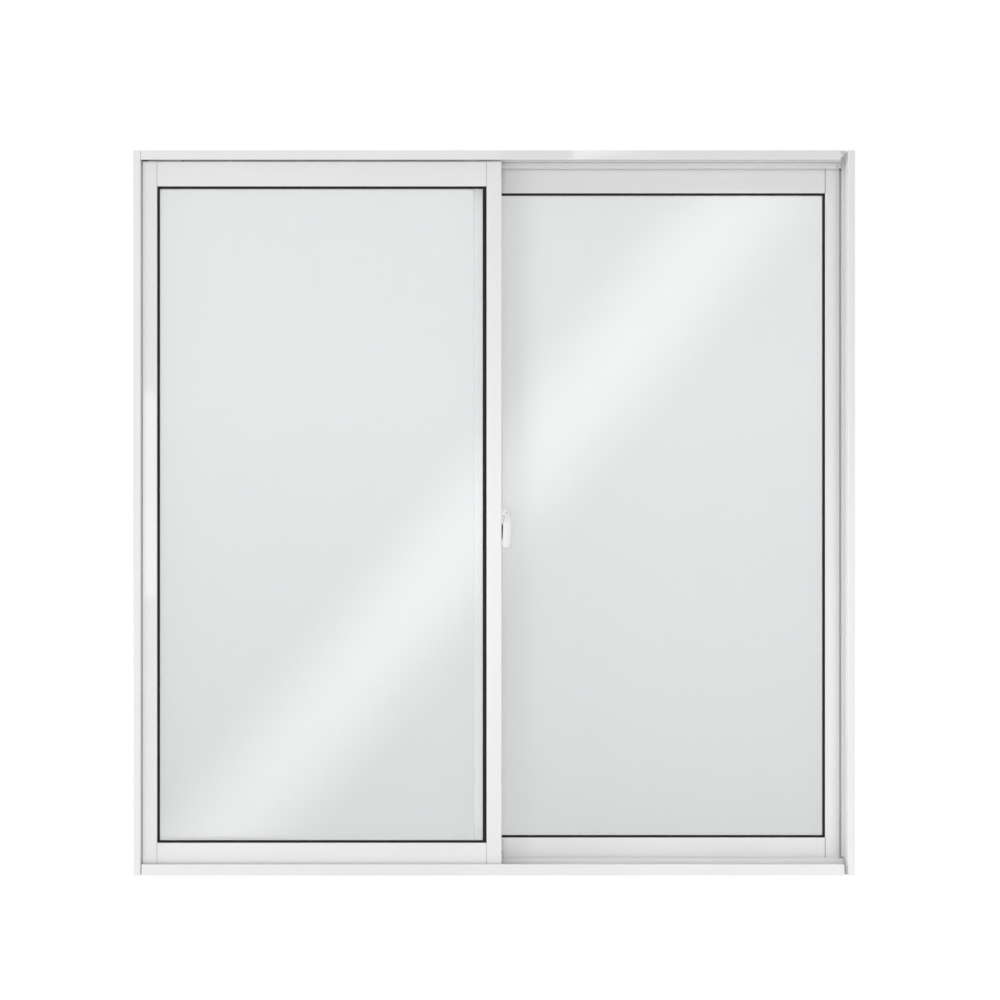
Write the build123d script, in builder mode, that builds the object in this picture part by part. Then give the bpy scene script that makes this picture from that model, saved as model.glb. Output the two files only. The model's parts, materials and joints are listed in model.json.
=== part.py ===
from build123d import *
import os

os.makedirs("parts", exist_ok=True)

# Two-leaf sliding window in white powder-coated aluminium, seen from the room side.
# +X is right, +Y goes out through the wall, +Z is up, in millimetres.
# The origin is the middle of the underside of the sill.

# Overall sizes
frame_w = 1200.0
frame_h = 1206.0
track_pitch = 35.0  # from the middle of one track to the middle of the other
track_to_face = 20.0  # from the middle of a track to the nearer face of the frame
frame_wall = 1.5  # wall of the frame profiles

# Frame legs, measured from the outside of the frame
head_front_leg = 15.0
head_left_gap = 0.6  # from the head's front leg to the left jamb's leg
head_right_gap = 11.7
head_mid_leg = 17.5
head_rear_leg = 16.0
head_shoulder_drop = 6.7  # the middle leg is thicker from here down
head_shoulder_out = 4.0
head_shoulder_r = 3.4
head_guide_fin = 12.0
sill_front_leg = 18.6
sill_left_gap = 1.6  # from the sill's front leg to the left jamb's leg
sill_right_gap = 6.1
sill_mid_leg = 19.6
sill_mid_inset = 13.4  # the sill's middle leg stops this far from the outside of the frame
sill_rear_leg = 12.0
jamb_front_leg = 11.6
jamb_return = 12.0  # depth of the front leg's return, from the face of the frame
jamb_mid_leg = 11.0
jamb_mid_leg_low = 7.0  # beside the end of the sill's middle leg
jamb_rear_leg = 16.0
jamb_fin = 8.0
rail_top = 13.0  # height of the roller rails above the underside
rail_w = 2.4
leg_round = 1.0  # rounded front edges of the legs
fin_w = 1.5
leg_gap = 1.7  # gap beside the ends of the other legs
mid_leg_gap = 9.0  # the head's middle leg stops this far from the jambs' legs

# Screw ports of the head and the sill
port_r = 3.6
port_hole_r = 1.9
port_slot = 1.8
port_from_face = 6.1  # from a face of the frame to the middle of a port
port_sink = 0.4  # how deep a port sits in the web

# Fixing and corner holes in the jambs, drain slots in the sill
fixing_hole_r = 2.6
fixing_span = 900.0  # from the lower holes to the upper ones
fixing_pitch = 17.5  # from the holes of one track to those of the other
corner_hole_r = 2.1  # corner screws into the ports
corner_sink_r = 3.6  # their countersink on the outside
drain_len = 24.0
drain_h = 5.0
drain_inset = 150.0

# Sashes
sash_w_gap = 12.6  # from the outside of the frame to the side of a sash
sash_top_gap = 15.8
sash_base = 14.0  # height of the sash's lower edge
sash_d = 25.0
sash_wall = 1.3
outer_stile_w = 24.2
meeting_stile_w = 25.0
top_rail_h = 41.0
bottom_rail_h = 38.3
meeting_edge = 12.2  # right edge of the front meeting stile
meeting_overlap = 2.0  # how far the two meeting stiles cover each other
joint_gap = 0.35  # open joint between a rail's end and its stile
stile_lip = 7.0
stile_lip_gap = 11.7
edge_round = 0.8

# Glazing
glass_t = 4.0
glass_set = 7.5  # from a sash's front face back to the middle of its glass
pocket_w = 10.0
pocket_depth = 12.0
pocket_fit = 0.1
gasket_base = 2.0
gasket_floor = 1.0  # air under the gasket in its pocket
gasket_show = 4.0
gasket_show_meeting = 7.2  # on the front sash
gasket_slope = 1.6  # bevel of the lips towards the glass

# Interlock between the meeting stiles
hook_root = 4.0  # from the near edge of the stile
hook_reach = 7.0
hook_lip = 4.0
hook_wall = 1.4
brush_w = 3.0
brush_gap = 0.3

# Rollers and guides
wheel_r = 11.0
wheel_groove = 2.0  # depth of the groove
wheel_groove_w = 4.6
wheel_groove_floor = 2.8
wheel_w = 8.0
axle_r = 2.5
axle_fit = 0.05
roller_fit = 0.4
roller_len = 60.0
roller_cheek = 2.5
roller_lift = 1.0  # from a rail's lower edge up to the carriage
wheel_room = 2.0  # air round a wheel in its carriage
roller_inset = 60.0  # from the end of a bottom rail to the middle of a roller
guide_len = 30.0
guide_inset = 25.0
guide_rise = 9.0
guide_fit = 0.5  # between the prongs and the head's fin
guide_side_fit = 0.3

# Latch
latch_pivot_x = 20.9
latch_pivot_z = 603.6
latch_t = 5.0
latch_proud = 3.0  # how far the lever stands in front of the sash
latch_pin_r = 2.0
latch_pin_fit = 0.05
latch_fit = 0.3
latch_boss_r = 5.0
latch_plate_t = 2.0
latch_plate_w = 18.0
latch_plate_h = 27.0
latch_neck_h = 8.0
latch_pin_head_r = 2.6
latch_pin_head_t = 1.0
lever_edge = 1.2  # bevel round the lever's front
hook_arm_t = 2.0
hook_arm_h = 5.0
hook_set_back = 0.3  # from the rear sash's front face
keeper_t = 1.5
keeper_w = 2.2
keeper_gap = 1.2
keeper_nose = 3.0
keeper_rise = 7.0
keeper_leg = 8.0
keeper_set_back = 0.2
# places from the pivot and radii of the rounds that the lever's outline is drawn round
lever_rounds = (((0.6, 0.0), 6.2), ((1.1, -27.0), 7.7), ((-1.2, -52.5), 6.4))

# Places worked out from the sizes above
half_w = frame_w / 2
half_d = track_pitch / 2 + track_to_face
front_y = -track_pitch / 2
rear_y = track_pitch / 2
sash_side = half_w - sash_w_gap
sash_top = frame_h - sash_top_gap
sash_h = sash_top - sash_base
meeting_left = meeting_edge - meeting_stile_w
inner_half = half_w - frame_wall
leg_side = half_w - jamb_front_leg
wheel_z = rail_top + wheel_r - wheel_groove
hook_low = sill_mid_leg + leg_gap
hook_high = frame_h - head_mid_leg - leg_gap
rear_meeting_right = meeting_left + meeting_overlap
rear_meeting_left = rear_meeting_right - meeting_stile_w


def save(part, name):
    part.label = name
    export_step(part, f"parts/{name}.step")


def bar(x0, x1, y0, y1, mode=Mode.ADD):
    # a rectangle in the sketch that is open, given by its sides
    with Locations(((x0 + x1) / 2, (y0 + y1) / 2)):
        Rectangle(abs(x1 - x0), abs(y1 - y0), mode=mode)


# Frame. The head and the sill are drawn in the YZ plane and run along X between the jambs.
def screw_port(y, z, opening):
    # an open tube on the web that takes a corner screw
    with Locations((y, z)):
        Circle(port_r)
        Circle(port_hole_r, mode=Mode.SUBTRACT)
    with Locations((y, z + opening * port_r)):
        Rectangle(port_slot, 2 * port_r, mode=Mode.SUBTRACT)


port_y = half_d - port_from_face
port_z = frame_wall + port_r - port_sink

with BuildPart() as head_track:
    web_low = frame_h - frame_wall
    with BuildSketch(Plane.YZ) as web:
        bar(-half_d, half_d, web_low, frame_h)
        for y in (front_y, rear_y):
            bar(y - fin_w / 2, y + fin_w / 2, frame_h - head_guide_fin, frame_h)
        bar(half_d - frame_wall, half_d, frame_h - head_rear_leg, frame_h)
    extrude(amount=inner_half - jamb_rear_leg, both=True)
    with BuildSketch(Plane.YZ) as web_strip:
        bar(-half_d + frame_wall, half_d - frame_wall, web_low, frame_h)
    extrude(amount=inner_half, both=True)
    with BuildSketch(Plane.YZ.offset(-leg_side + head_left_gap)) as front_leg:
        bar(-half_d, -half_d + frame_wall, frame_h - head_front_leg, frame_h)
    extrude(amount=2 * leg_side - head_left_gap - head_right_gap)
    with BuildSketch(Plane.YZ) as mid_leg:
        bar(-head_shoulder_out, frame_wall / 2, frame_h - head_mid_leg, frame_h - head_shoulder_drop)
        corner = mid_leg.vertices().group_by(Axis.Y)[-1].sort_by(Axis.X)[0]
        fillet(corner, radius=head_shoulder_r)
        bar(-head_shoulder_out + sash_wall, frame_wall / 2 - sash_wall, frame_h - head_mid_leg + sash_wall,
            frame_h - head_shoulder_drop - head_shoulder_r, mode=Mode.SUBTRACT)
        bar(-frame_wall / 2, frame_wall / 2, frame_h - head_mid_leg, frame_h)
    extrude(amount=half_w - jamb_mid_leg - mid_leg_gap, both=True)
    lip = head_track.edges().filter_by(Axis.X).group_by(Axis.Y)[0].sort_by(Axis.Z)
    fillet(lip[0], radius=leg_round)
    with BuildSketch(Plane.YZ) as ports:
        for y in (-port_y, port_y):
            screw_port(y, frame_h - port_z, -1)
    extrude(amount=inner_half - jamb_rear_leg - leg_gap, both=True)
save(head_track.part, "head_track")

with BuildPart() as sill_track:
    with BuildSketch(Plane.YZ) as floor_strip:
        bar(-half_d + frame_wall, half_d - frame_wall, 0, frame_wall)
    extrude(amount=inner_half, both=True)
    with BuildSketch(Plane.YZ) as rails:
        for y in (front_y, rear_y):
            bar(y - rail_w / 2, y + rail_w / 2, 0, rail_top - rail_w / 2)
            with Locations((y, rail_top - rail_w / 2)):
                Circle(rail_w / 2)
        bar(half_d - frame_wall, half_d, 0, sill_rear_leg)
        for y in (-port_y, port_y):
            screw_port(y, port_z, 1)
    extrude(amount=inner_half - jamb_rear_leg, both=True)
    with BuildSketch(Plane.YZ.offset(-leg_side + sill_left_gap)) as front_leg:
        bar(-half_d, -half_d + frame_wall, 0, sill_front_leg)
    extrude(amount=2 * leg_side - sill_left_gap - sill_right_gap)
    with BuildSketch(Plane.YZ) as mid_leg:
        bar(-frame_wall / 2, frame_wall / 2, 0, sill_mid_leg)
    extrude(amount=half_w - sill_mid_inset, both=True)
    lip = sill_track.edges().filter_by(Axis.X).group_by(Axis.Y)[0].sort_by(Axis.Z)
    fillet(lip[-1], radius=leg_round)
    with BuildSketch(Plane.XZ.offset(-half_d)) as drains:
        with Locations((0, frame_wall + drain_h / 2)):
            with GridLocations(frame_w - 2 * drain_inset, 1, 2, 1):
                SlotOverall(drain_len, drain_h)
    extrude(amount=frame_wall * 2, both=True, mode=Mode.SUBTRACT)
save(sill_track.part, "sill_track")


def jamb(name, side):
    # side is -1 on the left and 1 on the right; the profile is drawn in plan
    outer = side * half_w
    web_x = side * inner_half
    with BuildPart() as post:
        with BuildSketch(Plane.XY) as profile:
            bar(outer, web_x, -half_d, half_d)
            bar(outer, side * leg_side, -half_d, -half_d + frame_wall)
            bar(outer, side * (half_w - jamb_rear_leg), half_d - frame_wall, half_d)
        extrude(amount=frame_h)
        with BuildSketch(Plane.XY.offset(frame_wall)) as leg_return:
            bar(side * leg_side, side * (leg_side + frame_wall), -half_d, -half_d + jamb_return)
        extrude(amount=frame_h - 2 * frame_wall)
        with BuildSketch(Plane.XY.offset(sill_mid_leg + leg_gap)) as mid_leg:
            bar(outer, side * (half_w - jamb_mid_leg), -frame_wall / 2, frame_wall / 2)
        extrude(amount=frame_h - sill_mid_leg - leg_gap - frame_wall)
        with BuildSketch(Plane.XY.offset(frame_wall)) as low_leg:
            bar(outer, side * (half_w - jamb_mid_leg_low), -frame_wall / 2, frame_wall / 2)
        extrude(amount=sill_mid_leg + leg_gap - frame_wall)
        with BuildSketch(Plane.XY.offset(sill_mid_leg)) as fins:
            for y in (front_y, rear_y):
                bar(web_x, side * (inner_half - jamb_fin), y - fin_w / 2, y + fin_w / 2)
        extrude(amount=frame_h - sill_mid_leg - head_mid_leg)
        # a fixing hole runs through the web in each track, near the bottom and near the top
        with BuildSketch(Plane.YZ.offset(outer)) as holes:
            with Locations((0, frame_h / 2)):
                with GridLocations(fixing_pitch, fixing_span, 2, 2):
                    Circle(fixing_hole_r)
        extrude(amount=frame_wall * 2, both=True, mode=Mode.SUBTRACT)
        # corner screws go through the web and the return into the ports of the head and the sill
        for z in (port_z, frame_h - port_z):
            for y in (-port_y, port_y):
                with Locations(Location((outer, y, z), (0, -90 * side, 0))):
                    Cone(corner_sink_r, corner_hole_r, frame_wall,
                         align=(Align.CENTER, Align.CENTER, Align.MIN), mode=Mode.SUBTRACT)
            with Locations(Location((side * leg_side, -port_y, z), (0, 90, 0))):
                Cylinder(corner_hole_r, 2 * frame_wall, mode=Mode.SUBTRACT)
        tip = post.edges().filter_by(Axis.Z).group_by(Axis.Y)[0].sort_by(Axis.X)
        fillet(tip[0] if side > 0 else tip[-1], radius=leg_round)
    save(post.part, name)


jamb("left_jamb", -1)
jamb("right_jamb", 1)


# Sash profiles. A stile is drawn in plan from its outer edge towards the glass.
def stile(name, edge, toward, width, y, lips=False, hook=0):
    # toward is 1 where the glass lies to the right of the stile; hook is the side of the interlock
    front, back = y - sash_d / 2, y + sash_d / 2
    pane_y = front + glass_set

    def across(distance):
        return edge + toward * distance

    with BuildPart() as post:
        with BuildSketch(Plane.XY.offset(sash_base)) as profile:
            bar(across(0), across(width), front, back)
            fillet(profile.vertices(), radius=edge_round)
            hollow = width - pocket_depth - sash_wall
            bar(across(sash_wall), across(hollow), front + sash_wall, back - sash_wall, mode=Mode.SUBTRACT)
            bar(across(width - pocket_depth), across(width), pane_y - pocket_w / 2, pane_y + pocket_w / 2,
                mode=Mode.SUBTRACT)
            bar(across(width - pocket_depth), across(width - sash_wall), pane_y + pocket_w / 2 + sash_wall,
                back - sash_wall, mode=Mode.SUBTRACT)
            if lips:
                for face in (-1, 1):
                    root = y + face * stile_lip_gap / 2
                    bar(across(edge_round), across(-stile_lip), root, root + face * sash_wall)
        extrude(amount=sash_h)
        if hook:
            with BuildSketch(Plane.XY.offset(hook_low)) as interlock:
                leg = across(width - hook_root)
                start = y + hook * (sash_d / 2 - sash_wall)
                tip = y + hook * (sash_d / 2 + hook_reach)
                bar(leg, leg + toward * hook_wall, start, tip)
                bar(leg, leg + toward * hook_lip, tip - hook * hook_wall, tip)
            extrude(amount=hook_high - hook_low)
    save(post.part, name)


def sash_rail(name, x0, x1, y, edge_z, up, height):
    # drawn in the YZ plane; up is 1 where the glass lies above the rail
    front, back = y - sash_d / 2, y + sash_d / 2
    pane_y = front + glass_set

    def rise(distance):
        return edge_z + up * distance

    with BuildPart() as beam:
        with BuildSketch(Plane.YZ.offset(x0)) as profile:
            bar(front, back, rise(0), rise(height))
            fillet(profile.vertices(), radius=edge_round)
            floor = height - pocket_depth
            bar(front + sash_wall, back - sash_wall, rise(0), rise(floor - sash_wall), mode=Mode.SUBTRACT)
            bar(pane_y - pocket_w / 2, pane_y + pocket_w / 2, rise(floor), rise(height), mode=Mode.SUBTRACT)
            bar(pane_y + pocket_w / 2 + sash_wall, back - sash_wall, rise(floor), rise(height - sash_wall),
                mode=Mode.SUBTRACT)
        extrude(amount=x1 - x0)
    save(beam.part, name)


def glazing(prefix, left, right, y, left_show, right_show):
    # left and right are the inner edges of the stiles; the pane reaches into the pockets
    pane_y = y - sash_d / 2 + glass_set
    low = sash_base + bottom_rail_h
    high = sash_top - top_rail_h
    ring = pocket_depth - gasket_floor
    pane = ring - gasket_base
    middle = Plane.XZ.offset(-pane_y)
    with BuildPart() as gasket:
        with BuildSketch(middle) as outline:
            bar(left - ring, right + ring, low - ring, high + ring)
            bar(left + left_show, right - right_show, low + gasket_show, high - gasket_show,
                mode=Mode.SUBTRACT)
        extrude(amount=pocket_w / 2 - pocket_fit, both=True)
        with BuildSketch(middle) as slot:
            bar(left - pane, right + pane, low - pane, high + pane)
        extrude(amount=glass_t / 2, both=True, mode=Mode.SUBTRACT)
        for face in (gasket.faces().sort_by(Axis.Y)[0], gasket.faces().sort_by(Axis.Y)[-1]):
            chamfer(face.inner_wires()[0].edges(), length=gasket_slope)
    save(gasket.part, f"{prefix}_glazing_gasket")
    with BuildPart() as glass:
        with BuildSketch(middle) as sheet:
            bar(left - pane, right + pane, low - pane, high + pane)
        extrude(amount=glass_t / 2, both=True)
    save(glass.part, f"{prefix}_glass")


def roller(x, y):
    # a carriage in the open channel of the bottom rail, with a grooved wheel on the sill's rail
    top = sash_base + bottom_rail_h - pocket_depth - sash_wall
    width = sash_d - 2 * sash_wall - 2 * roller_fit
    with BuildPart() as carriage:
        with BuildSketch(Plane.XZ.offset(-y)) as side_view:
            bar(x - roller_len / 2, x + roller_len / 2, sash_base + roller_lift, top - roller_fit)
        extrude(amount=width / 2, both=True)
        with BuildSketch(Plane.XZ.offset(-y)) as window:
            bar(x - wheel_r - wheel_room, x + wheel_r + wheel_room, sash_base, wheel_z + wheel_r + wheel_room)
        extrude(amount=width / 2 - roller_cheek, both=True, mode=Mode.SUBTRACT)
        with BuildSketch(Plane.XZ.offset(-y)) as axle_hole:
            with Locations((x, wheel_z)):
                Circle(axle_r)
        extrude(amount=width / 2, both=True, mode=Mode.SUBTRACT)
    with BuildPart() as wheel:
        with BuildSketch(Plane.XY.offset(wheel_z)) as half_section:
            bar(x + axle_r + axle_fit, x + wheel_r, y - wheel_w / 2, y + wheel_w / 2)
            with BuildLine():
                Polyline(
                    (x + wheel_r, y - wheel_groove_w / 2),
                    (x + wheel_r - wheel_groove, y - wheel_groove_floor / 2),
                    (x + wheel_r - wheel_groove, y + wheel_groove_floor / 2),
                    (x + wheel_r, y + wheel_groove_w / 2),
                    close=True,
                )
            make_face(mode=Mode.SUBTRACT)
        revolve(axis=Axis((x, y, wheel_z), (0, 1, 0)))
    with BuildPart() as axle:
        with BuildSketch(Plane.XZ.offset(-y)) as round_bar:
            with Locations((x, wheel_z)):
                Circle(axle_r)
        extrude(amount=width / 2, both=True)
    return carriage.part, wheel.part, axle.part


def top_guide(prefix, side_name, x, y):
    # a nylon block in the top rail's channel whose two prongs straddle the head's fin
    width = sash_d - 2 * sash_wall - 2 * guide_side_fit
    low = sash_top - top_rail_h + pocket_depth + sash_wall
    prong_top = sash_top + guide_rise
    with BuildPart() as guide:
        with BuildSketch(Plane.YZ.offset(x - guide_len / 2)) as section:
            bar(y - width / 2, y + width / 2, low, sash_top)
            bar(y - width / 4, y + width / 4, sash_top, prong_top)
            bar(y - fin_w / 2 - guide_fit, y + fin_w / 2 + guide_fit, frame_h - head_guide_fin - guide_fit,
                prong_top, mode=Mode.SUBTRACT)
        extrude(amount=guide_len)
    save(guide.part, f"{prefix}_{side_name}_top_guide")


def sash(prefix, y, left_edge, right_edge, outer_side):
    # outer_side is -1 on the front sash, whose outer stile is on the left, and 1 on the rear sash
    if outer_side < 0:
        left, right = left_edge + outer_stile_w, right_edge - meeting_stile_w
        stile(f"{prefix}_outer_stile", left_edge, 1, outer_stile_w, y, lips=True)
        stile(f"{prefix}_meeting_stile", right_edge, -1, meeting_stile_w, y, hook=1)
        shows = (gasket_show, gasket_show_meeting)
    else:
        left, right = left_edge + meeting_stile_w, right_edge - outer_stile_w
        stile(f"{prefix}_meeting_stile", left_edge, 1, meeting_stile_w, y, hook=-1)
        stile(f"{prefix}_outer_stile", right_edge, -1, outer_stile_w, y, lips=True)
        shows = (gasket_show, gasket_show)
    rail_ends = (left + joint_gap, right - joint_gap)
    sash_rail(f"{prefix}_top_rail", *rail_ends, y, sash_top, -1, top_rail_h)
    sash_rail(f"{prefix}_bottom_rail", *rail_ends, y, sash_base, 1, bottom_rail_h)
    glazing(prefix, left, right, y, *shows)
    ends = {"left": (left, 1), "right": (right, -1)}
    rollers = []
    for side_name, (end, inward) in ends.items():
        rollers.append(roller(end + inward * roller_inset, y))
        top_guide(prefix, side_name, end + inward * guide_inset, y)
    # the two rollers of a sash share a node for each kind of piece
    for kind, solids in zip(("carriages", "wheels", "axles"), zip(*rollers)):
        save(Compound(children=solids), f"{prefix}_roller_{kind}")


sash("front_sash", front_y, -sash_side, meeting_edge, -1)
sash("rear_sash", rear_y, rear_meeting_left, sash_side, 1)


# Brush seals: one in each outer stile against the jamb's fin, one on each interlock lip
def brush(name, x0, x1, y0, y1, z0, z1):
    with BuildPart() as strip:
        with BuildSketch(Plane.XY.offset(z0)) as section:
            bar(x0, x1, y0, y1)
        extrude(amount=z1 - z0)
    save(strip.part, name)


fin_tip = inner_half - jamb_fin
for prefix, side, y in (("front_sash", -1, front_y), ("rear_sash", 1, rear_y)):
    brush(f"{prefix}_side_brush", side * sash_side, side * (fin_tip - brush_gap),
          y - brush_w, y + brush_w, sash_base, sash_top)
front_lip_tip = meeting_left + hook_root - hook_lip
rear_lip_tip = rear_meeting_right - hook_root + hook_lip
front_lip_back = front_y + sash_d / 2 + hook_reach
rear_lip_back = rear_y - sash_d / 2 - hook_reach
brush("front_sash_meeting_brush", front_lip_tip, front_lip_tip + brush_w, front_lip_back,
      rear_y - sash_d / 2 - brush_gap, hook_low, hook_high)
brush("rear_sash_meeting_brush", rear_lip_tip - brush_w, rear_lip_tip, rear_lip_back,
      front_y + sash_d / 2 + brush_gap, hook_low, hook_high)


# Latch. Its lever hangs in front of the rear pane and turns a hook behind the front meeting stile.
lever_front = front_y - sash_d / 2 - latch_proud
lever_back = lever_front + latch_t
boss_front = lever_back + latch_fit
hook_front = rear_y - sash_d / 2 + hook_set_back
boss_back = hook_front - latch_fit
pivot = (latch_pivot_x, latch_pivot_z)


def pin_hole(y0, y1):
    # bore for the pivot pin between two depths, cut from the part that is open
    with Locations(Location((latch_pivot_x, y0, latch_pivot_z), (-90, 0, 0))):
        Cylinder(latch_pin_r + latch_pin_fit, y1 - y0, align=(Align.CENTER, Align.CENTER, Align.MIN),
                 mode=Mode.SUBTRACT)


with BuildPart() as latch_base:
    with BuildSketch(Plane.YZ.offset(meeting_edge)) as plate:
        with Locations((front_y, latch_pivot_z - latch_plate_h / 2 + 2 * latch_boss_r)):
            Rectangle(latch_plate_w, latch_plate_h)
    extrude(amount=latch_plate_t)
    with BuildSketch(Plane.XZ.offset(-boss_front)) as neck:
        bar(meeting_edge, latch_pivot_x, latch_pivot_z - latch_neck_h / 2, latch_pivot_z + latch_neck_h / 2)
    extrude(amount=-(front_y + latch_plate_w / 2 - boss_front))
    with BuildSketch(Plane.XZ.offset(-boss_front)) as boss:
        with Locations(pivot):
            Circle(latch_boss_r)
    extrude(amount=-(boss_back - boss_front))
    pin_hole(boss_front, boss_back)
save(latch_base.part, "latch_base")

with BuildPart() as latch_lever:
    with BuildSketch(Plane.XZ.offset(-lever_back)) as outline:
        for (x, z), r in lever_rounds:
            with Locations((latch_pivot_x + x, latch_pivot_z + z)):
                Circle(r)
        make_hull(outline.edges())
    extrude(amount=latch_t)
    chamfer(latch_lever.faces().sort_by(Axis.Y)[0].edges(), length=lever_edge)
    pin_hole(lever_front, lever_back)
save(latch_lever.part, "latch_lever")

with BuildPart() as latch_pivot_pin:
    with BuildSketch(Plane.XZ.offset(-lever_front)) as shank:
        with Locations(pivot):
            Circle(latch_pin_r)
    extrude(amount=-(hook_front + hook_arm_t - lever_front))
    with BuildSketch(Plane.XZ.offset(-lever_front)) as head:
        with Locations(pivot):
            Circle(latch_pin_head_r)
    extrude(amount=latch_pin_head_t)
save(latch_pivot_pin.part, "latch_pivot_pin")

keeper_x = rear_meeting_right
nose_x = keeper_x + keeper_t + keeper_gap
with BuildPart() as latch_hook:
    with BuildSketch(Plane.XZ.offset(-hook_front)) as arm:
        with Locations(pivot):
            Circle(latch_boss_r)
        bar(nose_x, latch_pivot_x, latch_pivot_z - hook_arm_h / 2, latch_pivot_z + hook_arm_h / 2)
        bar(nose_x, nose_x + keeper_nose, latch_pivot_z, latch_pivot_z + keeper_rise)
    extrude(amount=-hook_arm_t)
    pin_hole(hook_front, hook_front + hook_arm_t)
save(latch_hook.part, "latch_hook")

with BuildPart() as latch_keeper:
    peg_x = nose_x + keeper_nose + keeper_gap
    keeper_top = latch_pivot_z + keeper_rise + keeper_gap + keeper_t
    with BuildSketch(Plane.XZ.offset(-(rear_y - sash_d / 2 + keeper_set_back))) as claw:
        bar(keeper_x, keeper_x + keeper_t, latch_pivot_z - keeper_leg, keeper_top)
        bar(keeper_x, peg_x + keeper_t, keeper_top - keeper_t, keeper_top)
        bar(peg_x, peg_x + keeper_t, latch_pivot_z + hook_arm_h / 2 + keeper_gap, keeper_top)
    extrude(amount=-keeper_w)
save(latch_keeper.part, "latch_keeper")
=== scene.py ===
import json
import math
import bpy
import numpy as np
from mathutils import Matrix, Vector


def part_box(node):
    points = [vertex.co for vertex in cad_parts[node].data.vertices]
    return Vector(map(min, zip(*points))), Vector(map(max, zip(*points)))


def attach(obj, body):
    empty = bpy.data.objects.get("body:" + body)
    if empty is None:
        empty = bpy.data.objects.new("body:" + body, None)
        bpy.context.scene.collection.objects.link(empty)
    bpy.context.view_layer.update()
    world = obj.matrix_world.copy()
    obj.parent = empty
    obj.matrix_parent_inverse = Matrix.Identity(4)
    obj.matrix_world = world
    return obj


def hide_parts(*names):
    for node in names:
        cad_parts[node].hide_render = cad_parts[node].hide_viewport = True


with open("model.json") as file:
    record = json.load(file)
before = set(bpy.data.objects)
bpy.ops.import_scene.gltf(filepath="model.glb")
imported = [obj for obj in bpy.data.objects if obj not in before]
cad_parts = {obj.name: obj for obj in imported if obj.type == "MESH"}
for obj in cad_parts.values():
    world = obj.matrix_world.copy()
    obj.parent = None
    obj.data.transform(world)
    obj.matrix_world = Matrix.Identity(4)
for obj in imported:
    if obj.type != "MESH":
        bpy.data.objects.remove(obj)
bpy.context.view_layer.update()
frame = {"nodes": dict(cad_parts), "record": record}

scene = bpy.context.scene
mm = 0.001
print("packed window loaded:", len(frame["nodes"]), "nodes")


# Helpers

# the six quads of a box whose corners are counted along X first, then Y, then Z
boxFaces = np.array([(0, 2, 3, 1), (4, 5, 7, 6), (0, 1, 5, 4), (2, 6, 7, 3), (0, 4, 6, 2), (1, 3, 7, 5)])


def fromHex(code):
    # sRGB hex to linear: c / 12.92 up to 0.04045, above it ((c + 0.055) / 1.055) to the power 2.4
    part = np.array([int(code[i:i + 2], 16) for i in (1, 3, 5)]) / 255
    linear = np.where(part <= 0.04045, part / 12.92, ((part + 0.055) / 1.055) ** 2.4)
    return tuple(float(c) for c in linear) + (1.0,)


def addNode(tree, kind, settings=(), output=0):
    # a setting names a property or an input; a socket is linked to its input, any other value is set
    node = tree.nodes.new(kind)
    for name, value in dict(settings).items():
        if isinstance(value, bpy.types.NodeSocket):
            tree.links.new(value, node.inputs[name])
        elif isinstance(name, str) and hasattr(node, name):
            setattr(node, name, value)
        else:
            node.inputs[name].default_value = value
    return node.outputs[output] if len(node.outputs) else None


def addNoise(tree, scale, detail, distortion=0.0, vector=None):
    # noise over the object's own coordinates, with scale counted to the metre
    if vector is None:
        vector = addNode(tree, "ShaderNodeTexCoord", output="Object")
    settings = {"Scale": scale, "Detail": detail, "Distortion": distortion, "Vector": vector}
    return addNode(tree, "ShaderNodeTexNoise", settings, "Fac")


def addRange(tree, value, start, end, low, high, kind="LINEAR"):
    # low where the value is start, high where it is end
    return addNode(tree, "ShaderNodeMapRange", {
        "interpolation_type": kind, "Value": value, "From Min": start, "From Max": end, "To Min": low,
        "To Max": high})


def addRoughness(tree, value, look):
    low, high = look["roughness"] - look["spread"], look["roughness"] + look["spread"]
    return addRange(tree, value, 0.0, 1.0, low, high)


def addTone(tree, value, low, high):
    settings = {"data_type": "RGBA", 0: value, 6: fromHex(low), 7: fromHex(high)}
    return addNode(tree, "ShaderNodeMix", settings, 2)


def addBump(tree, height, strength, depthMm):
    return addNode(tree, "ShaderNodeBump", {"Strength": strength, "Distance": depthMm * mm, "Height": height})


def addMath(tree, operation, first, second=0.0):
    return addNode(tree, "ShaderNodeMath", {"operation": operation, 0: first, 1: second})


def newMaterial(name):
    material = bpy.data.materials.new(name)
    material.use_nodes = True
    material.node_tree.nodes.clear()
    return material, material.node_tree


def gridFaces(rows, columns, closeRows=False, closeColumns=False):
    # quads between neighbours of a rows x columns grid of points, row after row
    r = np.arange(rows if closeRows else rows - 1)
    c = np.arange(columns if closeColumns else columns - 1)
    r, c = (a.ravel() for a in np.meshgrid(r, c, indexing="ij"))
    below, beside = (r + 1) % rows, (c + 1) % columns
    return np.stack([r * columns + c, r * columns + beside, below * columns + beside, below * columns + c], 1)


def superellipse(angle, power):
    # cosine and sine of the angle, each with its sign kept and its size raised to the power
    return (np.sign(part) * np.abs(part) ** power for part in (np.cos(angle), np.sin(angle)))


def addMesh(name, points, faces, material, sharpAngle=35.0):
    mesh = bpy.data.meshes.new(name)
    mesh.from_pydata(np.asarray(points).reshape(-1, 3).tolist(), [], [list(f) for f in faces])
    mesh.validate()
    mesh.shade_smooth()
    mesh.set_sharp_from_angle(angle=math.radians(sharpAngle))
    mesh.materials.append(material)
    piece = bpy.data.objects.new(name, mesh)
    scene.collection.objects.link(piece)
    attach(piece, "root")
    return piece


# Materials

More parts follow.
